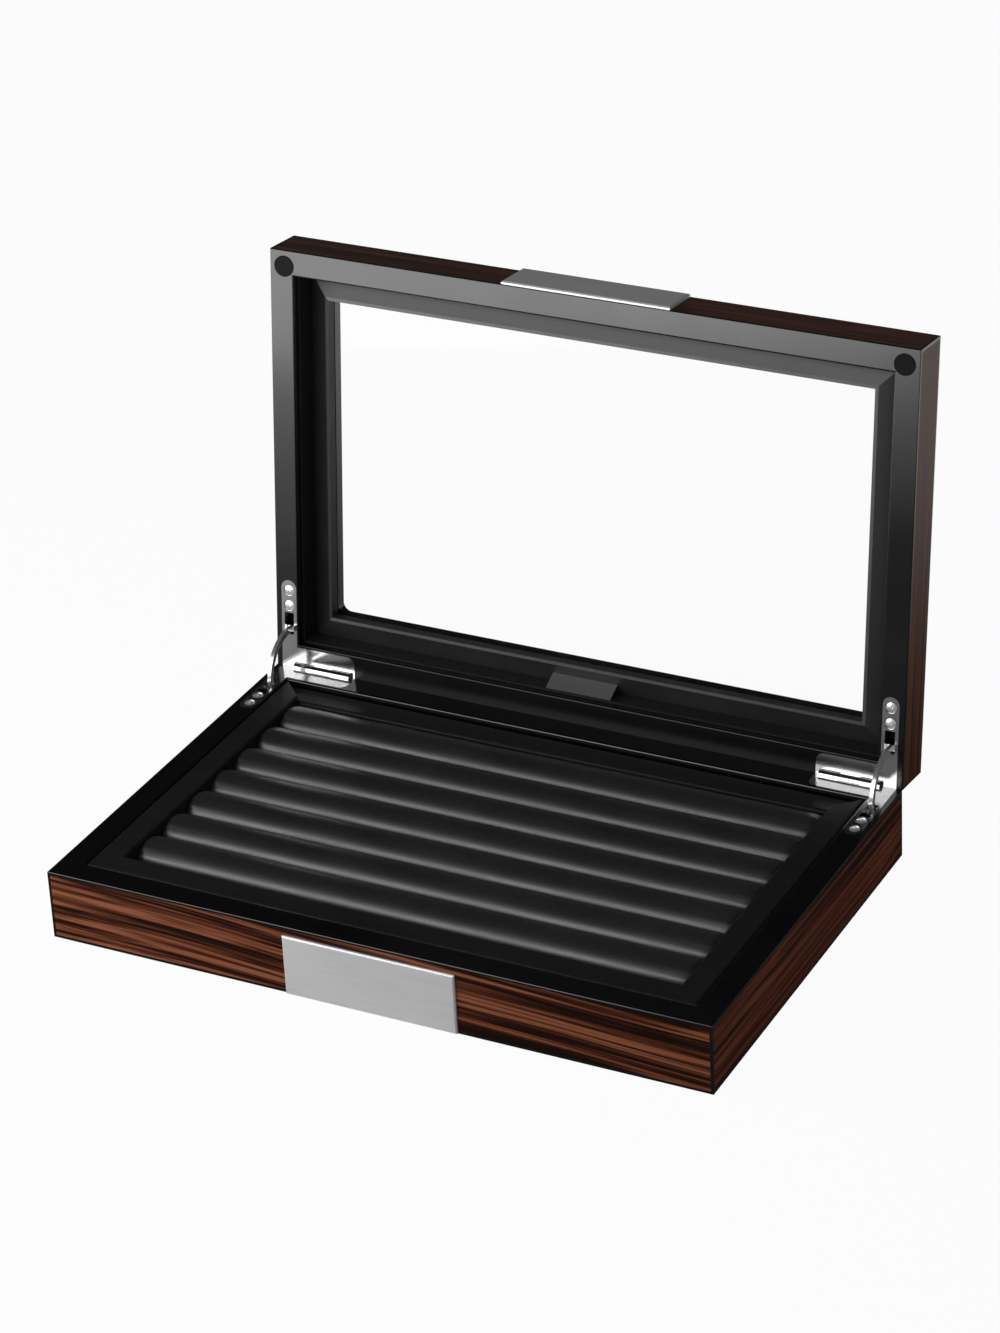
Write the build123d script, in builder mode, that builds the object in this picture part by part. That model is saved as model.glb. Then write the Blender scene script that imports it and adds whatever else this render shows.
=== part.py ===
from build123d import *
import math
import os

# Cufflink display box, glass-topped lid standing open on two quadrant hinges.
# Millimetres. X runs along the box, -Y is the front, +Z is up.
# The origin is the centre of the underside.

os.makedirs("parts", exist_ok=True)

# ---------------------------------------------------------------- case
box_length = 320.0
box_width = 206.5
base_height = 34.4
lid_height = 22.9
wall = 12.0
rim_gap = 0.5                # left between the two rims when the lid is shut
axis_rise = 0.1              # hinge axis above the base rim
axis_inset = 0.3             # hinge axis in front of the rear face
open_angle = 96.35           # from shut to the hinge stop
outer_round = 0.5            # outer edge of a rim
rear_round = 0.1             # the same edge at the rear, where the two rims nearly meet
inner_round = 0.9            # inner edge of a rim

# ---------------------------------------------------------------- veneer, felt, bottom
veneer = 0.6
veneer_lip = 1.3             # black edge left bare around each veneer sheet
felt_thickness = 0.8
felt_inset = 2.0
board_thickness = 3.0
board_rebate = 5.0

# ---------------------------------------------------------------- tray
tray_fit = 0.2
tray_floor_thickness = 2.0
border_width = 13.0
border_drop = 0.3            # border top below the rim
rear_border_drop = 3.0
border_round = 1.6
roll_pitch = 21.33
roll_gap = 0.4
roll_drop = 0.8              # crown of a roll below the rim
roll_rise = 7.5              # height of the crowned top above the roll's sides
roll_end_gap = 0.3
roll_taper_length = 5.0
roll_taper = 1.2             # how far the stitched ends are drawn in

# ---------------------------------------------------------------- plates
plate_width = 83.0
plate_thickness = 1.5
plate_bevel = 0.6
base_plate_drop = 4.2        # top of the base plate below the rim
base_plate_height = 29.2
lid_plate_margin = 0.5

# ---------------------------------------------------------------- window
top_frame_thickness = 5.3
window_margin = 24.0
window_corner = 4.5
glass_thickness = 2.0
glass_fit = 0.4
bezel_edge = 0.6             # thickness where the bezel meets the wall
bezel_depth = 10.3           # crest of the bezel below the rim
bezel_crest = 1.6
bezel_reveal = 0.5           # bezel opening inside the window opening
lining_thickness = 0.8
lining_depth = 4.2           # bare rim above the lid lining

# ---------------------------------------------------------------- label, bumpers
label_width = 33.0
label_middle = -3.2          # the loose label lies a little left of the middle
label_thickness = 0.8
label_foot_depth = 5.2
label_rise = 4.4
bumper_radius = 5.0
bumper_thickness = 1.4
bumper_proud = 0.4
bumper_from_side = 7.3
bumper_from_front = 7.6

# ---------------------------------------------------------------- quadrant hinges
leaf_thickness = 2.0
leaf_width = 8.0
leaf_length = 44.0
leaf_from_side = 2.9         # outer edge of the side leg from the end of the box
rear_leg_width = 10.4
rear_leg_length = 39.0
rear_leg_round = 4.0
knuckle_radius = 2.3
knuckle_length = 10.0
knuckle_from_end = 2.0       # free end of the rear leg to the first knuckle
knuckle_clearance = 0.3
knuckle_end_gap = 0.2
pin_radius = 0.9
pin_clearance = 0.06
pin_recess = 0.5
arm_radius = 18.4
arm_depth = 2.8              # measured along the radius
arm_thickness = 1.8          # measured along the box
arm_head_width = 6.4
arm_head_length = 1.0
arm_head_gap = 0.2           # head below the leaf at the stop
arm_clearance = 0.4
slot_near = 16.6
slot_far = 27.6
slot_width = 5.0
slot_well = 6.0
screw_places = (31.1, 38.8)  # from the rear face
screw_head_radius = 2.5
screw_shank_radius = 1.1
screw_length = 12.0
screw_sink = 0.3             # edge of the head below the face of the leaf
screw_dome = 0.5
screw_mouth = 0.2            # width of the ring round the sunk head
screw_slot_width = 0.5
screw_slot_length = 2.0
screw_slot_depth = 0.4

# ---------------------------------------------------------------- worked out from these
half_length = box_length / 2
rear_y = box_width / 2
hinge_axis = Vector(0, rear_y - axis_inset, base_height + axis_rise)
lid_axis_rise = rim_gap - axis_rise
opening = math.radians(open_angle)
base_wall_depth = base_height - felt_thickness
lid_wall_depth = lid_height - top_frame_thickness
leg_x = half_length - leaf_from_side - leaf_width / 2
rear_leg_end = half_length - leaf_from_side - rear_leg_length
knuckle_middles = [rear_leg_end + knuckle_from_end + knuckle_length * (k + 0.5) for k in range(3)]
barrel_length = 3 * knuckle_length
board_top = felt_thickness + board_thickness
tray_floor_top = board_top + tray_floor_thickness
tray_inset = wall + tray_fit
glass_face = lid_wall_depth - glass_thickness
arm_inner = arm_radius - arm_depth / 2
head_drop = max(axis_rise, lid_axis_rise) + leaf_thickness + arm_head_gap
head_angle = math.degrees(math.asin(head_drop / arm_inner))
arm_end_angle = head_angle + math.degrees(arm_head_length / arm_radius)
pocket_angle = arm_end_angle + open_angle / 2 + math.degrees(arm_clearance / arm_radius)
half_roll = half_length - tray_inset - border_width - roll_end_gap
roll_count = int((box_width - 2 * tray_inset - 2 * border_width) // roll_pitch)

# A rim frame lies on the face of a rim: x along the box, y from the rear face of the box
# towards its front, z out of the rim.
base_rim = Plane(origin=(0, rear_y, base_height), x_dir=(-1, 0, 0), z_dir=(0, 0, 1))
lid_out = Vector(0, -math.sin(opening), -math.cos(opening))
lid_up = Vector(0, -math.cos(opening), math.sin(opening))
lid_rim = Plane(
    origin=hinge_axis - lid_up * axis_inset - lid_out * lid_axis_rise, x_dir=(1, 0, 0), z_dir=lid_out
)
ends = {"left": -1, "right": 1}
sides = ("front", "rear", "left", "right")


def save(piece, name):
    """Label a finished piece and write it."""
    piece.label = name
    export_step(piece, f"parts/{name}.step")


def end_sign(rim, side):
    """The sign of x, in a rim frame, of the left or right end of the box."""
    return ends[side] * round(rim.x_dir.X)


def rail_plan(rim, side, inset, width):
    """One mitred rail of a rectangular frame that lies inset from the outline of the box."""
    x_out, x_in = half_length - inset, half_length - inset - width
    y_rear, y_front = inset, box_width - inset
    if side == "rear":
        corners = [(-x_out, y_rear), (x_out, y_rear), (x_in, y_rear + width), (-x_in, y_rear + width)]
    elif side == "front":
        corners = [(-x_out, y_front), (x_out, y_front), (x_in, y_front - width), (-x_in, y_front - width)]
    else:
        sign = end_sign(rim, side)
        corners = [
            (sign * x_out, y_rear),
            (sign * x_out, y_front),
            (sign * x_in, y_front - width),
            (sign * x_in, y_rear + width),
        ]
    Polygon(*corners, align=None)


def rail_solid(rim, side, inset, width, top, bottom):
    """A mitred rail between two depths below the rim."""
    with BuildSketch(rim.offset(-top)) as plan:
        rail_plan(rim, side, inset, width)
    extrude(plan.sketch, amount=top - bottom)


def round_rail(rail, rim, outer, inner):
    """Round the two long edges of a rail's face towards the rim."""
    face = rail.faces().sort_by(Axis(rim.origin, rim.z_dir))[-1]
    inner_edge, outer_edge = face.edges().sort_by(SortBy.LENGTH)[-2:]
    fillet(outer_edge, outer)
    inner_edge = rail.edges().sort_by_distance(inner_edge.center())[0]
    fillet(inner_edge, inner)


def outer_face(rim, side):
    """The outside of the box on one side: x along the side, y the depth below the rim."""
    if side == "front":
        place, out, along = (0, box_width, 0), rim.y_dir, rim.x_dir
    elif side == "rear":
        place, out, along = (0, 0, 0), -rim.y_dir, -rim.x_dir
    else:
        sign = end_sign(rim, side)
        place, out, along = (sign * half_length, box_width / 2, 0), rim.x_dir * sign, rim.y_dir * -sign
    return Plane(origin=rim.from_local_coords(place), x_dir=along, z_dir=out)


def side_span(side):
    """The length of one side of the box."""
    return box_length if side in ("front", "rear") else box_width


def across(rim, x):
    """The plane square to the hinge axis at x: its x is the rim frame's y, its y is z."""
    axis = rim.to_local_coords(hinge_axis)
    return Plane(origin=rim.from_local_coords((x, axis.Y, axis.Z)), x_dir=rim.y_dir, z_dir=rim.x_dir)


def ring_sector(radius, thickness, start, span):
    """A piece of a ring about the sketch's origin, in degrees."""
    with BuildLine() as outline:
        outer = CenterArc((0, 0), radius + thickness / 2, start, span)
        inner = CenterArc((0, 0), radius - thickness / 2, start, span)
        Line(outer @ 0, inner @ 0)
        Line(outer @ 1, inner @ 1)
    make_face(outline.edges())


def leaf_outline(rim, end):
    """The L-shaped outline of a hinge leaf, end being the sign of its end of the box."""
    leg_tip = leaf_length - leaf_width / 2
    with BuildSketch(rim) as outline:
        with Locations((end * (rear_leg_end + rear_leg_length / 2), rear_leg_width / 2)):
            Rectangle(rear_leg_length, rear_leg_width)
        free_corner = outline.vertices().group_by(Axis.Y)[-1].sort_by(Axis.X, reverse=end < 0)[0]
        fillet(free_corner, rear_leg_round)
        with Locations((end * leg_x, leg_tip / 2)):
            Rectangle(leaf_width, leg_tip)
        with Locations((end * leg_x, leg_tip)):
            Circle(leaf_width / 2)
    return outline.sketch


def barrel(rim, middle, length, radius, mode=Mode.ADD):
    """A round bar on the hinge axis."""
    with BuildSketch(across(rim, middle)) as disc:
        Circle(radius)
    extrude(disc.sketch, amount=length / 2, both=True, mode=mode)


def slot_cut(rim, end, depth):
    """The straight slot that the quadrant arm comes out of."""
    with BuildSketch(rim) as slot:
        with Locations((end * leg_x, (slot_near + slot_far) / 2)):
            Rectangle(slot_width, slot_far - slot_near)
    extrude(slot.sketch, amount=-depth, mode=Mode.SUBTRACT)


def hinge_leaf(rim, end, own, other):
    """Plate and knuckles of one leaf: own and other list the middles of the knuckles."""
    extrude(leaf_outline(rim, end), amount=-leaf_thickness)
    for middle in own:
        barrel(rim, end * middle, knuckle_length - knuckle_end_gap, knuckle_radius)
    cleared = knuckle_radius + knuckle_clearance
    for middle in other:
        barrel(rim, end * middle, knuckle_length + knuckle_end_gap, cleared, Mode.SUBTRACT)
    slot_cut(rim, end, leaf_thickness)


def hinge_seat(rim, end):
    """Cut the leaf's mortise, the knuckles' groove and the arm's pocket into the wood."""
    extrude(leaf_outline(rim, end), amount=-leaf_thickness, mode=Mode.SUBTRACT)
    groove = knuckle_radius + knuckle_clearance
    barrel(rim, end * knuckle_middles[1], barrel_length + 2 * knuckle_clearance, groove, Mode.SUBTRACT)
    with BuildSketch(across(rim, end * leg_x)) as pocket:
        ring_sector(arm_radius, arm_depth + 2 * arm_clearance, -pocket_angle, pocket_angle)
    extrude(pocket.sketch, amount=arm_head_width / 2 + arm_clearance, both=True, mode=Mode.SUBTRACT)
    slot_cut(rim, end, slot_well)


def screw_bodies(rim, mode=Mode.ADD):
    """Four oval countersunk screws, two in each side leg, without their driver recesses."""
    head_depth = screw_head_radius - screw_shank_radius
    for end in (-1, 1):
        for place in screw_places:
            head_edge = rim.from_local_coords((end * leg_x, place, -screw_sink))
            seat = Plane(origin=head_edge, x_dir=rim.y_dir, z_dir=rim.x_dir)
            with BuildSketch(seat) as profile:
                with BuildLine():
                    Polyline(
                        (0, screw_dome),
                        (0, -screw_length),
                        (screw_shank_radius, screw_shank_radius - screw_length),
                        (screw_shank_radius, -head_depth),
                        (screw_head_radius, 0),
                    )
                    RadiusArc(
                        (screw_head_radius, 0),
                        (0, screw_dome),
                        -(screw_head_radius**2 + screw_dome**2) / (2 * screw_dome),
                    )
                make_face()
            revolve(profile.sketch, axis=Axis(seat.origin, rim.z_dir), mode=mode)


def screw_recesses(rim):
    """Cut a cross into the head of each screw."""
    with BuildSketch(rim.offset(screw_dome - screw_sink)) as crosses:
        for end in (-1, 1):
            for place in screw_places:
                with Locations((end * leg_x, place)):
                    Rectangle(screw_slot_width, screw_slot_length)
                    Rectangle(screw_slot_length, screw_slot_width)
    extrude(crosses.sketch, amount=-screw_slot_depth, mode=Mode.SUBTRACT)


def screw_holes(rim, end):
    """Cut the screws' seats, and a shallow round mouth above each, into one leaf."""
    screw_bodies(rim, Mode.SUBTRACT)
    with BuildSketch(rim) as mouths:
        for place in screw_places:
            with Locations((end * leg_x, place)):
                Circle(screw_head_radius + screw_mouth)
    extrude(mouths.sketch, amount=-screw_sink, mode=Mode.SUBTRACT)


def roll_section(x, y, shrink):
    """One cross-section of a padded roll, drawn in by shrink."""
    half = (roll_pitch - roll_gap) / 2 - shrink
    crown = base_height - roll_drop - shrink
    with BuildSketch(Plane.YZ.offset(x)) as section:
        with BuildLine():
            Line((y - half, tray_floor_top), (y + half, tray_floor_top))
            Line((y + half, tray_floor_top), (y + half, crown - roll_rise))
            ThreePointArc((y + half, crown - roll_rise), (y, crown), (y - half, crown - roll_rise))
            Line((y - half, crown - roll_rise), (y - half, tray_floor_top))
        make_face()
    return section.sketch


# ================================================================ base, bottom up
inner_length = box_length - 2 * wall
inner_width = box_width - 2 * wall

with BuildPart() as base_felt:
    with BuildSketch(Plane.XY):
        Rectangle(box_length - 2 * felt_inset, box_width - 2 * felt_inset)
    extrude(amount=felt_thickness)
save(base_felt.part, "base_felt")

with BuildPart() as bottom_board:
    with BuildSketch(Plane.XY.offset(felt_thickness)):
        Rectangle(inner_length + 2 * board_rebate, inner_width + 2 * board_rebate)
    extrude(amount=board_thickness)
save(bottom_board.part, "bottom_board")

with BuildPart() as hinge_base_screws:
    screw_bodies(base_rim)
    screw_recesses(base_rim)
save(hinge_base_screws.part, "hinge_base_screws")

base_veneers = {}
for side in sides:
    with BuildPart() as base_veneer:
        with BuildSketch(outer_face(base_rim, side)):
            with Locations((0, base_wall_depth / 2)):
                Rectangle(side_span(side) - 2 * veneer_lip, base_wall_depth - 2 * veneer_lip)
        extrude(amount=-veneer)
        if side == "rear":
            for end in (-1, 1):
                hinge_seat(base_rim, end)
    base_veneers[side] = base_veneer.part
    save(base_veneer.part, f"base_{side}_veneer")

for side in sides:
    with BuildPart() as base_wall:
        rail_solid(base_rim, side, 0, wall, 0, base_wall_depth)
        round_rail(base_wall, base_rim, rear_round if side == "rear" else outer_round, inner_round)
        for end in (-1, 1):
            if side == "rear" or (side in ends and end == end_sign(base_rim, side)):
                hinge_seat(base_rim, end)
        screw_bodies(base_rim, Mode.SUBTRACT)
        add(bottom_board.part, mode=Mode.SUBTRACT)
        add(base_veneers[side], mode=Mode.SUBTRACT)
    save(base_wall.part, f"base_{side}_wall")

with BuildPart() as base_front_plate:
    with BuildSketch(outer_face(base_rim, "front")):
        with Locations((0, base_plate_drop + base_plate_height / 2)):
            Rectangle(plate_width, base_plate_height)
    extrude(amount=plate_thickness)
    chamfer(base_front_plate.faces().sort_by(Axis.Y)[0].edges(), plate_bevel)
save(base_front_plate.part, "base_front_plate")

# ================================================================ tray
with BuildPart() as tray_floor:
    with BuildSketch(Plane.XY.offset(board_top)):
        Rectangle(inner_length - 2 * tray_fit, inner_width - 2 * tray_fit)
    extrude(amount=tray_floor_thickness)
save(tray_floor.part, "tray_floor")

tray_depth = base_height - tray_floor_top
for side in sides:
    drop = rear_border_drop if side == "rear" else border_drop
    with BuildPart() as tray_border:
        rail_solid(base_rim, side, tray_inset, border_width, drop, tray_depth)
        round_rail(tray_border, base_rim, border_round, border_round)
    save(tray_border.part, f"tray_{side}_border")

# The rolls lie against the rear border, which leaves a free groove in front of the last one.
first_roll_y = rear_y - tray_inset - border_width - roll_pitch / 2
straight = half_roll - roll_taper_length
for number in range(roll_count):
    roll_y = first_roll_y - number * roll_pitch
    with BuildPart() as roll:
        extrude(roll_section(0, roll_y, 0), amount=straight, both=True)
        for end in (-1, 1):
            full = roll_section(end * straight, roll_y, 0)
            drawn = roll_section(end * (straight + 0.6 * roll_taper_length), roll_y, 0.25 * roll_taper)
            tip = roll_section(end * half_roll, roll_y, roll_taper)
            loft([full, drawn, tip])
    save(roll.part, f"tray_roll_{number + 1}")

# ================================================================ lid
window_length = box_length - 2 * window_margin
window_width = box_width - 2 * window_margin

with BuildPart() as hinge_lid_screws:
    screw_bodies(lid_rim)
    screw_recesses(lid_rim)
save(hinge_lid_screws.part, "hinge_lid_screws")

with BuildPart() as lid_bumpers:
    with BuildSketch(lid_rim.offset(bumper_proud)):
        for end in (-1, 1):
            with Locations((end * (half_length - bumper_from_side), box_width - bumper_from_front)):
                Circle(bumper_radius)
    extrude(amount=-bumper_thickness)
    round_edges = lid_bumpers.faces().group_by(Axis(lid_rim.origin, lid_rim.z_dir))[-1].edges()
    fillet(round_edges, bumper_proud / 2)
save(lid_bumpers.part, "lid_bumpers")

lid_veneers = {}
for side in sides:
    with BuildPart() as lid_veneer:
        with BuildSketch(outer_face(lid_rim, side)):
            with Locations((0, lid_height / 2)):
                Rectangle(side_span(side) - 2 * veneer_lip, lid_height - 2 * veneer_lip)
        extrude(amount=-veneer)
        if side == "rear":
            for end in (-1, 1):
                hinge_seat(lid_rim, end)
    lid_veneers[side] = lid_veneer.part
    save(lid_veneer.part, f"lid_{side}_veneer")

for side in sides:
    with BuildPart() as lid_wall:
        rail_solid(lid_rim, side, 0, wall, 0, lid_wall_depth)
        round_rail(lid_wall, lid_rim, rear_round if side == "rear" else outer_round, inner_round)
        for end in (-1, 1):
            if side == "rear" or (side in ends and end == end_sign(lid_rim, side)):
                hinge_seat(lid_rim, end)
        screw_bodies(lid_rim, Mode.SUBTRACT)
        add(lid_bumpers.part, mode=Mode.SUBTRACT)
        add(lid_veneers[side], mode=Mode.SUBTRACT)
    save(lid_wall.part, f"lid_{side}_wall")

with BuildPart() as lid_top_veneer:
    with BuildSketch(lid_rim.offset(veneer - lid_height)):
        with Locations((0, box_width / 2)):
            Rectangle(box_length - 2 * veneer_lip, box_width - 2 * veneer_lip)
            RectangleRounded(
                window_length + 2 * veneer_lip,
                window_width + 2 * veneer_lip,
                window_corner + veneer_lip,
                mode=Mode.SUBTRACT,
            )
    extrude(amount=-veneer)
save(lid_top_veneer.part, "lid_top_veneer")

for side in sides:
    with BuildPart() as lid_top_rail:
        with BuildSketch(lid_rim.offset(-lid_wall_depth)):
            rail_plan(lid_rim, side, 0, window_margin + window_corner)
            with Locations((0, box_width / 2)):
                RectangleRounded(window_length, window_width, window_corner, mode=Mode.SUBTRACT)
        extrude(amount=-top_frame_thickness)
        top_face = lid_top_rail.faces().sort_by(Axis(lid_rim.origin, lid_rim.z_dir))[0]
        fillet(top_face.edges().sort_by(SortBy.LENGTH)[-1], outer_round)
        add(lid_top_veneer.part, mode=Mode.SUBTRACT)
        add(lid_veneers[side], mode=Mode.SUBTRACT)
    save(lid_top_rail.part, f"lid_{side}_top_rail")

with BuildPart() as lid_front_plate:
    with BuildSketch(outer_face(lid_rim, "front")):
        with Locations((0, lid_height / 2)):
            Rectangle(plate_width, lid_height - 2 * lid_plate_margin)
    extrude(amount=plate_thickness)
    plate_face = lid_front_plate.faces().sort_by(Axis(lid_rim.origin, lid_rim.y_dir))[-1]
    chamfer(plate_face.edges(), plate_bevel)
save(lid_front_plate.part, "lid_front_plate")

with BuildPart() as window_glass:
    with BuildSketch(lid_rim.offset(-glass_face)):
        with Locations((0, box_width / 2)):
            Rectangle(inner_length - 2 * glass_fit, inner_width - 2 * glass_fit)
    extrude(amount=-glass_thickness)
save(window_glass.part, "window_glass")

for side in sides:
    with BuildPart() as lid_lining:
        rail_solid(lid_rim, side, wall, lining_thickness, lining_depth, glass_face)
    save(lid_lining.part, f"lid_{side}_lining")

# The bezel slopes up from the lining to a crest around the window opening.
bezel_inset = wall + lining_thickness
bezel_width = window_margin + bezel_reveal - bezel_inset
bezel_foot = glass_face - bezel_edge
with BuildPart() as bezel_ring:
    with BuildSketch(lid_rim.offset(-glass_face)):
        with Locations((0, box_width / 2)):
            Rectangle(box_length - 2 * bezel_inset, box_width - 2 * bezel_inset)
    extrude(amount=bezel_edge)
    for depth, inset in ((bezel_foot, bezel_inset), (bezel_depth, bezel_inset + bezel_width - bezel_crest)):
        with BuildSketch(lid_rim.offset(-depth)):
            with Locations((0, box_width / 2)):
                Rectangle(box_length - 2 * inset, box_width - 2 * inset)
    loft(ruled=True)

for side in sides:
    with BuildPart() as window_bezel:
        rail_solid(lid_rim, side, bezel_inset, bezel_width, 0, lid_wall_depth)
        add(bezel_ring.part, mode=Mode.INTERSECT)
    save(window_bezel.part, f"window_{side}_bezel")

# The label leans from the rear lining onto the slope of the bezel.
bezel_slope = (bezel_foot - bezel_depth) / (bezel_width - bezel_crest)
foot = Vector(bezel_inset, -label_foot_depth)
head = Vector(bezel_inset + label_rise, -(bezel_foot - label_rise * bezel_slope))
lean = (head - foot).normalized()
outward = Vector(-lean.Y, lean.X) * label_thickness
label_place = lid_rim.from_local_coords((label_middle, 0, 0))
with BuildPart() as lid_label:
    with BuildSketch(Plane(origin=label_place, x_dir=lid_rim.y_dir, z_dir=lid_rim.x_dir)):
        Polygon(*[(v.X, v.Y) for v in (foot, head, head + outward, foot + outward)], align=None)
    extrude(amount=label_width / 2, both=True)
save(lid_label.part, "lid_label")

# ================================================================ hinges
for side, end in ends.items():
    base_end = end_sign(base_rim, side)
    with BuildPart() as hinge_base_leaf:
        hinge_leaf(base_rim, base_end, knuckle_middles[::2], knuckle_middles[1:2])
        barrel(base_rim, base_end * knuckle_middles[1], barrel_length, pin_radius, Mode.SUBTRACT)
        screw_holes(base_rim, base_end)
    save(hinge_base_leaf.part, f"hinge_base_leaf_{side}")

    with BuildPart() as hinge_lid_leaf:
        hinge_leaf(lid_rim, end, knuckle_middles[1:2], knuckle_middles[::2])
        barrel(lid_rim, end * knuckle_middles[1], barrel_length, pin_radius + pin_clearance, Mode.SUBTRACT)
        screw_holes(lid_rim, end)
    save(hinge_lid_leaf.part, f"hinge_lid_leaf_{side}")

    with BuildPart() as hinge_pin:
        barrel(base_rim, base_end * knuckle_middles[1], barrel_length - 2 * pin_recess, pin_radius)
    save(hinge_pin.part, f"hinge_pin_{side}")

    # The arm is a flat blade, an arc about the hinge axis. Its two wider heads stop under the leaves.
    swing_plane = Plane(
        origin=(end * leg_x, hinge_axis.Y, hinge_axis.Z), x_dir=(0, 1, 0), z_dir=(1, 0, 0)
    )
    lid_side = 180 - open_angle
    with BuildPart() as hinge_arm:
        with BuildSketch(swing_plane):
            ring_sector(
                arm_radius, arm_depth, lid_side - arm_end_angle, open_angle + 2 * arm_end_angle
            )
        extrude(amount=arm_thickness / 2, both=True)
        with BuildSketch(swing_plane):
            ring_sector(arm_radius, arm_depth, lid_side - arm_end_angle, arm_end_angle - head_angle)
            ring_sector(arm_radius, arm_depth, 180 + head_angle, arm_end_angle - head_angle)
        extrude(amount=arm_head_width / 2, both=True)
    save(hinge_arm.part, f"hinge_arm_{side}")
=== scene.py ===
import math

import bpy
import numpy as np
from mathutils import Matrix, Vector


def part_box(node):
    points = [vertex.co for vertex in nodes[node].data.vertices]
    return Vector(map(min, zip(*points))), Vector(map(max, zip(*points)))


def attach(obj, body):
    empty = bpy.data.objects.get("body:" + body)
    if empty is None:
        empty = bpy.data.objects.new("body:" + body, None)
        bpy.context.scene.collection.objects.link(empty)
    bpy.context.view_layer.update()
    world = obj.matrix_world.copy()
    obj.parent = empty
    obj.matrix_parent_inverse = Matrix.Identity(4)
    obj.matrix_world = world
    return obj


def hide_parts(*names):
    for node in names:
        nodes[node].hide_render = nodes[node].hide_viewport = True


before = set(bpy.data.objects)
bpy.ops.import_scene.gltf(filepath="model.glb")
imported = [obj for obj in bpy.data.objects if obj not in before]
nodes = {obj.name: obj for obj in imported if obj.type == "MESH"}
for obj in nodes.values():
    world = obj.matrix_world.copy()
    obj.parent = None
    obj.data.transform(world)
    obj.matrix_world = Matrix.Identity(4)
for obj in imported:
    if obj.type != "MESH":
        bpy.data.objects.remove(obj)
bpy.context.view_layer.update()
sides = ("front", "rear", "left", "right")
print("frame loaded:", len(nodes), "nodes")


# helpers for shader nodes: those that make a node return its output


def link(tree, source, target):
    tree.links.new(source, target)


def feed(tree, source, socket):
    if hasattr(source, "links"):
        link(tree, source, socket)
    else:
        socket.default_value = source


def calc(tree, operation, first, second):
    node = tree.nodes.new("ShaderNodeMath")
    node.operation = operation
    feed(tree, first, node.inputs[0])
    feed(tree, second, node.inputs[1])
    return node.outputs[0]


def mixed(tree, factor, first, second):
    # first where the factor is 0 and second where it is 1
    node = tree.nodes.new("ShaderNodeMix")
    for source, label in ((factor, "Factor"), (first, "A"), (second, "B")):
        feed(tree, source, node.inputs[label])
    return node.outputs[0]


def blend(tree, factor, first, second):
    # the same for two colours, whose sockets are found by their place
    node = tree.nodes.new("ShaderNodeMix")
    node.data_type = "RGBA"
    for source, index in ((factor, 0), (first, 6), (second, 7)):
        feed(tree, source, node.inputs[index])
    return node.outputs[2]


def remap(tree, value, low, high, toLow=0, toHigh=1, curve="LINEAR"):
    # takes the range low to high to the range toLow to toHigh, and holds its ends beyond it
    node = tree.nodes.new("ShaderNodeMapRange")
    node.interpolation_type = curve
    ends = {"Value": value, "From Min": low, "From Max": high, "To Min": toLow, "To Max": toHigh}
    for label, source in ends.items():
        feed(tree, source, node.inputs[label])
    return node.outputs[0]


def noise(tree, vector, scales, detail, rough=0.5, distortion=0):
    # noise on the vector times a scale on each axis
    stretch = tree.nodes.new("ShaderNodeVectorMath")
    stretch.operation = "MULTIPLY"
    link(tree, vector, stretch.inputs[0])
    stretch.inputs[1].default_value = scales
    node = tree.nodes.new("ShaderNodeTexNoise")
    node.inputs["Scale"].default_value = 1
    node.inputs["Detail"].default_value = detail
    node.inputs["Roughness"].default_value = rough
    node.inputs["Distortion"].default_value = distortion
    link(tree, stretch.outputs[0], node.inputs["Vector"])
    return node.outputs["Fac"]


# camera, floor and light

photoView = {
    "azimuth": 28.187,  # degrees round from the front
    "elevation": 28.407,
    "roll": -3.048,
    "distance": 1.9567,
    "target": (-0.04153, 0.10657, 0.05486),
    "lens": 113.9,  # millimetres, and so is the sensor's width
    "sensor": 36,
    "clipStart": 0.05,
}


def placeCamera(view):
    # looks at the target from a distance along azimuth and elevation, then rolls about its own axis
    az, el, roll = (math.radians(view[k]) for k in ("azimuth", "elevation", "roll"))
    back = Vector((math.sin(az) * math.cos(el), -math.cos(az) * math.cos(el), math.sin(el)))
    right = (-back).cross(Vector((0, 0, 1))).normalized()
    up = back.cross(right)
    turn = Matrix((right, up, back)).transposed() @ Matrix.Rotation(roll, 3, "Z")
    place = Vector(view["target"]) + back * view["distance"]
    data = bpy.data.cameras.new("photoCamera")
    data.lens = view["lens"]
    data.sensor_width = view["sensor"]
    data.clip_start = view["clipStart"]
    camera = bpy.data.objects.new("photoCamera", data)
    camera.matrix_world = Matrix.Translation(place) @ turn.to_4x4()
    bpy.context.scene.collection.objects.link(camera)
    bpy.context.scene.camera = camera


lamps = {
    # name: where it stands, the point it faces, width and height, watts
    "frontPanel": ((-0.53, -0.55, 0.30), (0.0, 0.05, 0.22), (0.95, 0.62), 5.05),
    "highPanel": ((-0.10, -0.70, 0.62), (0.0, 0.12, 0.2), (0.7, 0.3), 1.2),
}


def placeLamps(settings):
    for name, (place, aim, size, power) in settings.items():
        data = bpy.data.lights.new(name, "AREA")
        data.shape = "RECTANGLE"
        data.size, data.size_y = size
        data.energy = power
        lamp = bpy.data.objects.new(name, data)
        lamp.visible_camera = False
        away = Vector(place) - Vector(aim)
        turn = away.to_track_quat("Z", "Y").to_matrix()
        lamp.matrix_world = Matrix.Translation(place) @ turn.to_4x4()
        bpy.context.scene.collection.objects.link(lamp)


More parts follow.
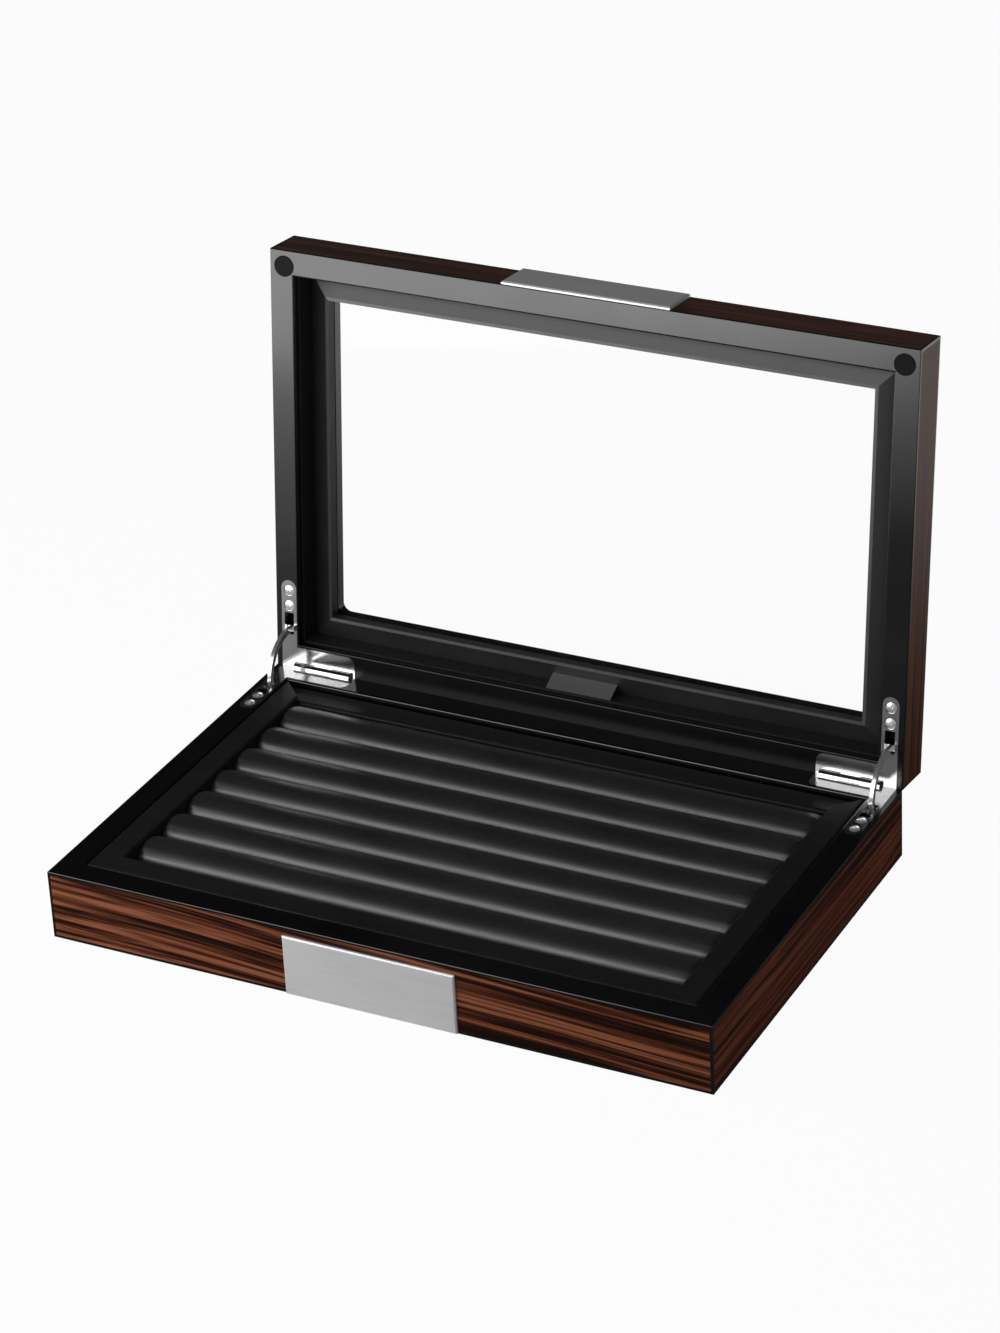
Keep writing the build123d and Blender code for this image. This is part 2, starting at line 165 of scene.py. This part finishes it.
surroundings = {
    "horizon": 0.12,  # what gloss shows level with the table
    "ceiling": 0.008,
    "darkFrom": 0.30,  # height over distance at which the ceiling starts
    "ambient": 0.07,  # light of the world on matt surfaces
    "floorReach": 9,  # metres from the middle to each edge
    "floorColour": (0.86, 0.86, 0.86, 1),
    "floorGlow": 0.96,  # share of plain white that the camera sees, also through the glass
    "floorGloss": 0.88,  # the same share in reflections
    "paintedShadowMiddle": (-0.2, 0.15, 0),  # minus the middle of a painted shadow: the patch of floor that looks dark in gloss
    "nearGloss": (0.34, 0.03),  # metres from there, and how bright reflections are up to there
    "farGloss": (0.77, 0.95),  # the same for where they stop getting brighter
}


def pathShares(tree):
    # 1 where the light path has been mirrored, and 1 where it has not been spread by a matt surface
    paths = tree.nodes.new("ShaderNodeLightPath")
    mirrored = calc(tree, "MINIMUM", paths.outputs["Glossy Depth"], 1)
    spread = calc(tree, "MINIMUM", paths.outputs["Diffuse Depth"], 1)
    return mirrored, calc(tree, "SUBTRACT", 1, spread)


def makeWorld(settings):
    # white to the camera, and in reflections a grey horizon under a dark ceiling
    world = bpy.data.worlds.new("studio")
    bpy.context.scene.world = world
    world.use_nodes = True
    tree = world.node_tree
    tree.nodes.clear()
    output = tree.nodes.new("ShaderNodeOutputWorld")
    sky = tree.nodes.new("ShaderNodeBackground")
    sky.inputs["Color"].default_value = (1, 1, 1, 1)
    place = tree.nodes.new("ShaderNodeTexCoord")
    split = tree.nodes.new("ShaderNodeSeparateXYZ")
    link(tree, place.outputs["Generated"], split.inputs[0])
    tones = (settings["horizon"], settings["ceiling"])
    fall = remap(tree, split.outputs["Z"], 0, settings["darkFrom"], *tones, "SMOOTHSTEP")
    mirrored, plain = pathShares(tree)
    look = mixed(tree, mirrored, 1, fall)
    link(tree, mixed(tree, plain, settings["ambient"], look), sky.inputs["Strength"])
    link(tree, sky.outputs[0], output.inputs[0])


def makeFloor(settings):
    # white to the camera, and in reflections a painted shadow round the box that gets lighter further out
    reach = settings["floorReach"]
    corners = [(-reach, -reach, 0), (reach, -reach, 0), (reach, reach, 0), (-reach, reach, 0)]
    mesh = bpy.data.meshes.new("floor")
    mesh.from_pydata(corners, [], [(0, 1, 2, 3)])
    floor = bpy.data.objects.new("floor", mesh)
    bpy.context.scene.collection.objects.link(floor)
    material = bpy.data.materials.new("paleFloor")
    material.use_nodes = True
    tree = material.node_tree
    tree.nodes.clear()
    output = tree.nodes.new("ShaderNodeOutputMaterial")
    matte = tree.nodes.new("ShaderNodeBsdfDiffuse")
    matte.inputs["Color"].default_value = settings["floorColour"]
    place = tree.nodes.new("ShaderNodeTexCoord")
    shift = tree.nodes.new("ShaderNodeVectorMath")
    shift.inputs[1].default_value = settings["paintedShadowMiddle"]
    link(tree, place.outputs["Object"], shift.inputs[0])
    distance = tree.nodes.new("ShaderNodeVectorMath")
    distance.operation = "LENGTH"
    link(tree, shift.outputs[0], distance.inputs[0])
    (near, nearTone), (far, farTone) = settings["nearGloss"], settings["farGloss"]
    rise = remap(tree, distance.outputs["Value"], near, far, nearTone, farTone, "SMOOTHSTEP")
    mirrored, plain = pathShares(tree)
    glow = tree.nodes.new("ShaderNodeEmission")
    link(tree, mixed(tree, mirrored, 1, rise), glow.inputs["Strength"])
    share = mixed(tree, mirrored, settings["floorGlow"], settings["floorGloss"])
    mix = tree.nodes.new("ShaderNodeMixShader")
    link(tree, mixed(tree, plain, 0, share), mix.inputs["Fac"])
    link(tree, matte.outputs[0], mix.inputs[1])
    link(tree, glow.outputs[0], mix.inputs[2])
    link(tree, mix.outputs[0], output.inputs[0])
    mesh.materials.append(material)


bpy.context.scene.view_settings.view_transform = "Standard"
placeCamera(photoView)
placeLamps(lamps)
makeWorld(surroundings)
makeFloor(surroundings)
print("camera, lamps and floor placed")


# shader groups


def newGroup(name, inputs):
    # a group with the given inputs, and with the three outputs that newMaterial expects
    group = bpy.data.node_groups.new(name, "ShaderNodeTree")
    for label, kind, value in inputs:
        socket = group.interface.new_socket(label, in_out="INPUT", socket_type="NodeSocket" + kind)
        if value is not None:
            socket.default_value = value
    for label, kind in (("Color", "Color"), ("Roughness", "Float"), ("Height", "Float")):
        group.interface.new_socket(label, in_out="OUTPUT", socket_type="NodeSocket" + kind)
    return group, group.nodes.new("NodeGroupInput"), group.nodes.new("NodeGroupOutput")


noiseSpan = (0.3, 0.7)  # where most values of a noise lie

# In the patterns below each noise has its repeats per metre on x, y and z, its detail and, where they
# aren't plain, its roughness and distortion.

grainPattern = {
    "wander": ((7, 22, 22), 1),
    "drift": (0, 0.006, 0.006),  # how far the stripes wander, in metres
    "bands": ((4.5, 400, 400), 2, 0.45),
    "bandSpan": (0.36, 0.64),
    "streaks": {  # name: noise, and how far it moves the tone
        "broad": (((1.1, 95, 95), 1), 0.12),
        "lines": (((7, 1000, 1000), 2), 0.42),
        "fibres": (((30, 2100, 2100), 2), 0.08),
    },
    "darkSpan": (0.08, 0.5),  # the tones that run from dark to middle
    "lightSpan": (0.5, 1.0),  # and from middle to light
    "roughness": (0.30, 0.38),
    "relief": (0.2, 0.8),
}


def makeGrainGroup(pattern):
    # noise stretched along x and cut into bands, finer streaks laid over them, and painted shade that
    # changes the tone along x
    group, given, out = newGroup(
        "stripedGrain",
        [
            ("Vector", "Vector", None),
            ("Dark", "Color", (0, 0, 0, 1)),
            ("Middle", "Color", (0.5, 0.5, 0.5, 1)),
            ("Light", "Color", (1, 1, 1, 1)),
            ("Fade", "Float", 0),
        ],
    )
    wander = noise(group, given.outputs["Vector"], *pattern["wander"])
    lift = group.nodes.new("ShaderNodeCombineXYZ")
    link(group, wander, lift.inputs["Y"])
    link(group, wander, lift.inputs["Z"])
    drift = group.nodes.new("ShaderNodeVectorMath")
    drift.operation = "MULTIPLY_ADD"
    link(group, lift.outputs[0], drift.inputs[0])
    drift.inputs[1].default_value = pattern["drift"]
    link(group, given.outputs["Vector"], drift.inputs[2])
    tone = remap(group, noise(group, drift.outputs[0], *pattern["bands"]), *pattern["bandSpan"])
    for settings, weight in pattern["streaks"].values():
        streaks = noise(group, drift.outputs[0], *settings)
        tone = calc(group, "ADD", tone, remap(group, streaks, *noiseSpan, -weight, weight))
    # painted shade: the tone shifts steadily along x, as light falling off across the face would make it
    split = group.nodes.new("ShaderNodeSeparateXYZ")
    link(group, given.outputs["Vector"], split.inputs[0])
    tone = calc(group, "ADD", tone, calc(group, "MULTIPLY", split.outputs["X"], given.outputs["Fade"]))
    dark = remap(group, tone, *pattern["darkSpan"])
    light = remap(group, tone, *pattern["lightSpan"])
    low = blend(group, dark, given.outputs["Dark"], given.outputs["Middle"])
    link(group, blend(group, light, low, given.outputs["Light"]), out.inputs["Color"])
    link(group, remap(group, tone, 0, 1, *pattern["roughness"]), out.inputs["Roughness"])
    link(group, remap(group, streaks, *pattern["relief"]), out.inputs["Height"])  # the last are fibres
    return group


leatherPattern = {
    "cells": 1500,  # repeats per metre
    "cellEdge": 0.6,  # how soft the edges of the cells are
    "cellSpan": 0.7,  # distance from a cell's middle at which it has sunk
    "creases": ((420, 420, 420), 3),
    "shares": (0.6, 0.4),  # of the cells and the creases in the height
    "sheen": ((28, 60, 60), 2),
    "wornSpan": (0.3, 0.75),
}


def makeLeatherGroup(pattern):
    # pebbled cells with soft creases between them, and a slow change of sheen
    group, given, out = newGroup(
        "pebbledLeather",
        [
            ("Vector", "Vector", None),
            ("Base", "Color", (0.02, 0.02, 0.02, 1)),
            ("Worn", "Color", (0.05, 0.05, 0.05, 1)),
            ("Gloss Low", "Float", 0.3),
            ("Gloss High", "Float", 0.5),
        ],
    )
    cells = group.nodes.new("ShaderNodeTexVoronoi")
    cells.feature = "SMOOTH_F1"
    cells.inputs["Scale"].default_value = pattern["cells"]
    cells.inputs["Smoothness"].default_value = pattern["cellEdge"]
    link(group, given.outputs["Vector"], cells.inputs["Vector"])
    creases = noise(group, given.outputs["Vector"], *pattern["creases"])
    cellShare, creaseShare = pattern["shares"]
    bumps = remap(group, cells.outputs["Distance"], 0, pattern["cellSpan"], 1, 0)
    bumps = calc(group, "MULTIPLY", bumps, cellShare)
    height = calc(group, "ADD", bumps, calc(group, "MULTIPLY", creases, creaseShare))
    sheen = noise(group, given.outputs["Vector"], *pattern["sheen"])
    rough = remap(group, sheen, *noiseSpan, given.outputs["Gloss Low"], given.outputs["Gloss High"])
    worn = remap(group, sheen, *pattern["wornSpan"])
    link(group, blend(group, worn, given.outputs["Base"], given.outputs["Worn"]), out.inputs["Color"])
    link(group, rough, out.inputs["Roughness"])
    link(group, height, out.inputs["Height"])
    return group


brushPattern = {
    "lines": ((45, 5200, 5200), 2, 0.6),
    "patches": ((14, 40, 40), 1),
    "patchTones": (0.96, 1.04),
    "roughShare": 0.5,  # how much of a scratch's change of tone its roughness takes
}


def makeBrushGroup(pattern):
    # fine parallel scratches along x
    group, given, out = newGroup(
        "brushedLines",
        [
            ("Vector", "Vector", None),
            ("Base", "Color", (0.5, 0.5, 0.5, 1)),
            ("Roughness", "Float", 0.3),
            ("Contrast", "Float", 0.1),
        ],
    )
    lines = noise(group, given.outputs["Vector"], *pattern["lines"])
    patches = noise(group, given.outputs["Vector"], *pattern["patches"])
    spread = calc(group, "MULTIPLY", remap(group, lines, *noiseSpan, -1, 1), given.outputs["Contrast"])
    gain = calc(group, "ADD", 1.0, spread)
    gain = calc(group, "MULTIPLY", gain, remap(group, patches, *noiseSpan, *pattern["patchTones"]))
    scaled = group.nodes.new("ShaderNodeVectorMath")
    scaled.operation = "SCALE"
    link(group, given.outputs["Base"], scaled.inputs[0])
    link(group, gain, scaled.inputs["Scale"])
    link(group, scaled.outputs[0], out.inputs["Color"])
    rougher = calc(group, "MULTIPLY", spread, pattern["roughShare"])
    link(group, calc(group, "ADD", given.outputs["Roughness"], rougher), out.inputs["Roughness"])
    link(group, lines, out.inputs["Height"])
    return group


handlingPattern = {
    "smears": ((24, 24, 24), 3, 0.55, 0.4),
    "smearSpan": (0.4, 0.8),
    "specks": ((2400, 2400, 2400), 0),
    "speckSpan": (0.72, 0.8),
    "ripples": ((520, 520, 520), 1),  # the slight orange peel of a sprayed coat
}


def makeHandlingGroup(pattern):
    # faint smears and specks that only change the gloss and lift the colour a little
    group, given, out = newGroup(
        "handling",
        [
            ("Vector", "Vector", None),
            ("Base", "Color", (0.01, 0.01, 0.01, 1)),
            ("Dust", "Color", (0.2, 0.2, 0.2, 1)),
            ("Amount", "Float", 0.05),
            ("Gloss", "Float", 0.2),
            ("Smear", "Float", 0.08),
        ],
    )
    smears = noise(group, given.outputs["Vector"], *pattern["smears"])
    specks = remap(group, noise(group, given.outputs["Vector"], *pattern["specks"]), *pattern["speckSpan"])
    dust = calc(group, "ADD", specks, remap(group, smears, *pattern["smearSpan"]))
    dusty = calc(group, "MULTIPLY", dust, given.outputs["Amount"])
    rough = calc(group, "MULTIPLY", remap(group, smears, *noiseSpan), given.outputs["Smear"])
    link(group, blend(group, dusty, given.outputs["Base"], given.outputs["Dust"]), out.inputs["Color"])
    link(group, calc(group, "ADD", given.outputs["Gloss"], rough), out.inputs["Roughness"])
    link(group, noise(group, given.outputs["Vector"], *pattern["ripples"]), out.inputs["Height"])
    return group


shaderGroups = {
    "grain": makeGrainGroup(grainPattern),
    "leather": makeLeatherGroup(leatherPattern),
    "brush": makeBrushGroup(brushPattern),
    "handling": makeHandlingGroup(handlingPattern),
}
print("shader groups made")


# materials


def newMaterial(name, effect=None, values=None, turn=(0, 0, 0), bump=0.0, bumpDistance=0.0002, **constants):
    # one Principled shader, with an effect group on object coordinates feeding it; turn is in degrees
    material = bpy.data.materials.new(name)
    material.use_nodes = True
    tree = material.node_tree
    shader = tree.nodes["Principled BSDF"]
    for label, value in constants.items():
        shader.inputs[label.replace("_", " ")].default_value = value
    if effect:
        place = tree.nodes.new("ShaderNodeTexCoord")
        mapping = tree.nodes.new("ShaderNodeMapping")
        mapping.vector_type = "TEXTURE"
        mapping.inputs["Rotation"].default_value = [math.radians(a) for a in turn]
        link(tree, place.outputs["Object"], mapping.inputs["Vector"])
        group = tree.nodes.new("ShaderNodeGroup")
        group.node_tree = shaderGroups[effect]
        for label, value in values.items():
            group.inputs[label].default_value = value
        link(tree, mapping.outputs[0], group.inputs["Vector"])
        link(tree, group.outputs["Color"], shader.inputs["Base Color"])
        link(tree, group.outputs["Roughness"], shader.inputs["Roughness"])
        if bump:
            relief = tree.nodes.new("ShaderNodeBump")
            relief.inputs["Strength"].default_value = bump
            relief.inputs["Distance"].default_value = bumpDistance
            link(tree, group.outputs["Height"], relief.inputs["Height"])
            link(tree, relief.outputs[0], shader.inputs["Normal"])
    return material


def shade(piece, material):
    piece.data.materials.clear()
    piece.data.materials.append(material)


lidLean = 6.35  # degrees that the open lid leans back
veneerTones = {
    "Dark": (0.009, 0.003, 0.002, 1),
    "Middle": (0.085, 0.023, 0.0095, 1),
    "Light": (0.25, 0.085, 0.040, 1),
}
lidPaintedShade = 0.5  # painted shade: the lid's strips of veneer are this much of the base's tones, as if they got less light
frontTones = {**veneerTones, "Fade": -1.1}  # painted shade: darker towards the right end of the box, where the lamp's light falls off
sideTones = {  # the ends of the base are redder, with more contrast, and painted shade makes them lighter towards the front
    "Dark": (0.002, 0.0006, 0.0004, 1),
    "Middle": (0.105, 0.023, 0.0095, 1),
    "Light": (0.30, 0.086, 0.040, 1),
    "Fade": -0.9,
}


def darker(tones, share):
    return {name: (*(share * value for value in tone[:3]), 1) for name, tone in tones.items()}


# painted shade: darker copies of the veneer's tones for the lid
lidShadedTones = darker(veneerTones, lidPaintedShade)
veneerFinish = dict(bump=0.05, Specular_IOR_Level=0.12)
veneerAlong = newMaterial("veneerAlong", "grain", frontTones, (0, 2.4, 0), **veneerFinish)
veneerAcross = newMaterial("veneerAcross", "grain", sideTones, (1.5, 0, 90), **veneerFinish)
veneerUp = newMaterial("veneerUp", "grain", lidShadedTones, (0, lidLean - 90, 90), **veneerFinish)
veneerLid = newMaterial("veneerLid", "grain", lidShadedTones, (0, 0.6, 0), **veneerFinish)

lacquerTones = {"Base": (0.0012, 0.0012, 0.0013, 1), "Amount": 0.0015, "Smear": 0.05}
blackLacquer = newMaterial(
    "blackLacquer", "handling", {**lacquerTones, "Gloss": 0.13}, bump=0.008, Specular_IOR_Level=0.85
)
dullLacquer = newMaterial(  # for the lid's rear wall, which mirrors less
    "dullLacquer", "handling", {**lacquerTones, "Gloss": 0.2}, bump=0.008, Specular_IOR_Level=0.3
)
blackBoard = newMaterial(
    "blackBoard", "handling", {"Base": (0.01, 0.01, 0.01, 1), "Amount": 0.08, "Gloss": 0.7}, bump=0.2
)
borderLeather = newMaterial(
    "borderLeather",
    "leather",
    {
        "Base": (0.011, 0.011, 0.0114, 1),
        "Worn": (0.017, 0.017, 0.0175, 1),
        "Gloss Low": 0.46,
        "Gloss High": 0.56,
    },
    bump=0.12,
    Specular_IOR_Level=0.2,
)
bezelTones = {
    "Base": (0.0075, 0.0075, 0.008, 1),
    "Worn": (0.012, 0.012, 0.013, 1),
    "Gloss Low": 0.40,
    "Gloss High": 0.48,
}
bezelLeather = newMaterial(
    "bezelLeather", "leather", bezelTones, bump=0.12, Specular_IOR_Level=1.0, IOR=1.6
)
leftBezelLeather = newMaterial(  # duller than the other bezels
    "leftBezelLeather", "leather", bezelTones, bump=0.12, Specular_IOR_Level=0.38
)
rollLeather = newMaterial(
    "rollLeather",
    "leather",
    {
        "Base": (0.004, 0.004, 0.0042, 1),
        "Worn": (0.007, 0.007, 0.0073, 1),
        "Gloss Low": 0.38,
        "Gloss High": 0.45,
    },
    bump=0.10,
    Specular_IOR_Level=0.8,
    IOR=1.7,
)
satinPlate = newMaterial(
    "satinPlate",
    "brush",
    {"Base": (0.9, 0.9, 0.905, 1), "Roughness": 0.42, "Contrast": 0.05},
    bump=0.04,
    bumpDistance=0.00005,
    Metallic=0.6,
)
labelMetal = newMaterial(
    "labelMetal", "brush", {"Base": (0.12, 0.12, 0.123, 1), "Roughness": 0.35, "Contrast": 0.15}, bump=0.05
)
metalDust = {"Dust": (0.5, 0.5, 0.5, 1), "Smear": 0.08}
hingeNickel = newMaterial(
    "hingeNickel",
    "handling",
    {**metalDust, "Base": (0.82, 0.82, 0.83, 1), "Amount": 0.04, "Gloss": 0.10},
    bump=0.02,
    Metallic=1.0,
)
screwSteel = newMaterial(
    "screwSteel",
    "handling",
    {**metalDust, "Base": (0.9, 0.9, 0.9, 1), "Amount": 0.03, "Gloss": 0.28},
    bump=0.02,
    Metallic=0.8,
)
armSteel = newMaterial(
    "armSteel",
    "handling",
    {**metalDust, "Base": (0.88, 0.88, 0.88, 1), "Amount": 0.03, "Gloss": 0.16},
    bump=0.02,
    Metallic=0.9,
)
bumperRubber = newMaterial(
    "bumperRubber",
    "handling",
    {"Base": (0.006, 0.006, 0.0065, 1), "Amount": 0.01, "Gloss": 0.6},
    bump=0.15,
    Specular_IOR_Level=0.15,
)
undersideFelt = newMaterial(
    "undersideFelt",
    "leather",
    {
        "Base": (0.012, 0.012, 0.012, 1),
        "Worn": (0.03, 0.03, 0.03, 1),
        "Gloss Low": 0.9,
        "Gloss High": 1.0,
    },
    bump=0.8,
    Sheen_Weight=0.4,
)
clearGlass = newMaterial(
    "clearGlass", Base_Color=(1, 1, 1, 1), Transmission_Weight=1.0, Roughness=0.0, IOR=1.12
)

for side in sides:
    shade(nodes[f"base_{side}_wall"], blackLacquer)
    shade(nodes[f"lid_{side}_wall"], dullLacquer if side == "rear" else blackLacquer)
    shade(nodes[f"lid_{side}_top_rail"], blackLacquer)
    shade(nodes[f"tray_{side}_border"], borderLeather)
    shade(nodes[f"window_{side}_bezel"], leftBezelLeather if side == "left" else bezelLeather)
    shade(nodes[f"lid_{side}_lining"], borderLeather)
for side in ("front", "rear"):
    shade(nodes[f"base_{side}_veneer"], veneerAlong)
    shade(nodes[f"lid_{side}_veneer"], veneerLid)
for side in ("left", "right"):
    shade(nodes[f"base_{side}_veneer"], veneerAcross)
    shade(nodes[f"lid_{side}_veneer"], veneerUp)
    shade(nodes[f"hinge_base_leaf_{side}"], hingeNickel)
    shade(nodes[f"hinge_lid_leaf_{side}"], hingeNickel)
    shade(nodes[f"hinge_arm_{side}"], armSteel)
    shade(nodes[f"hinge_pin_{side}"], hingeNickel)
for part in ("base", "lid"):
    shade(nodes[f"{part}_front_plate"], satinPlate)
    shade(nodes[f"hinge_{part}_screws"], screwSteel)
shade(nodes["lid_top_veneer"], veneerLid)
shade(nodes["lid_label"], labelMetal)
shade(nodes["lid_bumpers"], bumperRubber)
shade(nodes["window_glass"], clearGlass)
shade(nodes["base_felt"], undersideFelt)
shade(nodes["bottom_board"], blackBoard)
shade(nodes["tray_floor"], blackBoard)
print("materials given")


# padded rolls

rollShape = {
    "crownRise": 0.0078,  # height of the arched top
    "footCorner": 0.001,  # the foot narrows over this height
    "footShare": 0.9,  # to this share of the width
    "endLength": 0.005,  # stretch over which the ends are drawn in
    "endDraw": 0.0012,
    "pucker": 0.00022,
    "puckerReach": 0.012,  # distance from the end over which the puckers fade
    "puckerTurn": 2600,  # radians per metre round the section
    "puckerPhase": 6,
    "swell": 0.00018,
    "swellWaves": (5, 9, 14, 23),  # radians per half length
    "swellPhase": 6.28,
    "sideShare": 0.8,  # how much of the swell and the puckers the sides get
    "archCount": 400,
    "aroundCount": 56,
    "alongCount": 180,
    "endCrowding": 1.5,  # 1 spaces the sections evenly, and more puts more of them near the ends
}


def rollSection(low, high, shape):
    # The section: a flat foot with cut corners, upright sides and half an ellipse on top. It gives the
    # distance round it, the share of the half width and the height of points that are spaced evenly.
    halfWidth = (high[1] - low[1]) / 2
    foot, crown = low[2], high[2]
    corner = foot + shape["footCorner"]
    shoulder = crown - shape["crownRise"]
    arch = np.linspace(0, math.pi, shape["archCount"])
    archHeight = shoulder + np.sin(arch) * shape["crownRise"]
    y = np.concatenate([[1.0], np.cos(arch), [-1.0, -shape["footShare"], shape["footShare"], 1.0]])
    z = np.concatenate([[corner], archHeight, [corner, foot, foot, corner]])
    step = np.hypot(np.diff(y) * halfWidth, np.diff(z))
    travel = np.concatenate([[0], np.cumsum(step)])
    around = np.linspace(0, travel[-1], shape["aroundCount"], endpoint=False)
    return around, np.interp(around, travel, y), np.interp(around, travel, z)


def rollGrid(low, high, shape, seed):
    # A roll on a grid, one way round its section and the other way along x. The ends are drawn in by a
    # quarter ellipse and have small puckers, and a sum of sine waves along x makes it swell unevenly, but
    # nowhere above the crown.
    around, y, z = rollSection(low, high, shape)
    middle, halfWidth = (low[1] + high[1]) / 2, (high[1] - low[1]) / 2
    foot, crown = low[2], high[2]
    t = np.linspace(-1, 1, shape["alongCount"])
    along = np.sign(t) * (1 - (1 - np.abs(t)) ** shape["endCrowding"])
    x = (low[0] + high[0]) / 2 + along * (high[0] - low[0]) / 2
    fromEnd = (high[0] - low[0]) / 2 * (1 - np.abs(along))
    near = np.clip(1 - fromEnd / shape["endLength"], 0, 1)
    draw = shape["endDraw"] * (1 - np.sqrt(1 - near**2))
    rng = np.random.default_rng(seed)
    waves = sum(
        rng.uniform(0.4, 1) * np.sin(along * turn + rng.uniform(0, shape["swellPhase"]))
        for turn in shape["swellWaves"]
    ) / len(shape["swellWaves"])
    ripple = np.sin(around * shape["puckerTurn"] + rng.uniform(0, shape["puckerPhase"]))
    pucker = shape["pucker"] * np.exp(-fromEnd / shape["puckerReach"])[:, None] * ripple[None, :]
    upper = np.clip((z - foot) / (crown - foot), 0, 1)[None, :]
    bulge = shape["swell"] * waves[:, None] * upper + pucker
    yy = middle + y[None, :] * (halfWidth - draw[:, None] + bulge * shape["sideShare"])
    zz = foot + (z[None, :] - foot) * (1 - draw[:, None] / (crown - foot)) + bulge * upper
    xx = np.broadcast_to(x[:, None], yy.shape)
    return np.stack([xx, yy, np.minimum(zz, crown)], axis=-1)


def closedGrid(name, grid):
    # a tube mesh from a grid (along, around, xyz), its ends closed by one more point each
    rows, columns = grid.shape[:2]
    index = np.arange(rows * columns).reshape(rows, columns)
    near = index[:-1, :]
    far = index[1:, :]
    quads = np.stack([near, np.roll(near, -1, 1), np.roll(far, -1, 1), far], axis=-1).reshape(-1, 4)
    ends = np.stack([grid[0].mean(0), grid[-1].mean(0)])
    firstCap = np.stack([np.roll(index[0], -1), index[0], np.full(columns, rows * columns)], -1)
    lastCap = np.stack([index[-1], np.roll(index[-1], -1), np.full(columns, rows * columns + 1)], -1)
    mesh = bpy.data.meshes.new(name)
    points = np.concatenate([grid.reshape(-1, 3), ends])
    mesh.from_pydata(points.tolist(), [], quads.tolist() + firstCap.tolist() + lastCap.tolist())
    mesh.polygons.foreach_set("use_smooth", np.ones(len(mesh.polygons), bool))
    mesh.update()
    piece = bpy.data.objects.new(name, mesh)
    bpy.context.scene.collection.objects.link(piece)
    return piece


for node in sorted(n for n in nodes if n.startswith("tray_roll_")):
    low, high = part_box(node)
    number = int(node.split("_")[-1])
    roll = closedGrid(f"padded_roll_{number}", rollGrid(low, high, rollShape, number))
    shade(roll, rollLeather)
    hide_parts(node)
    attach(roll, "base")
print("rolls made")
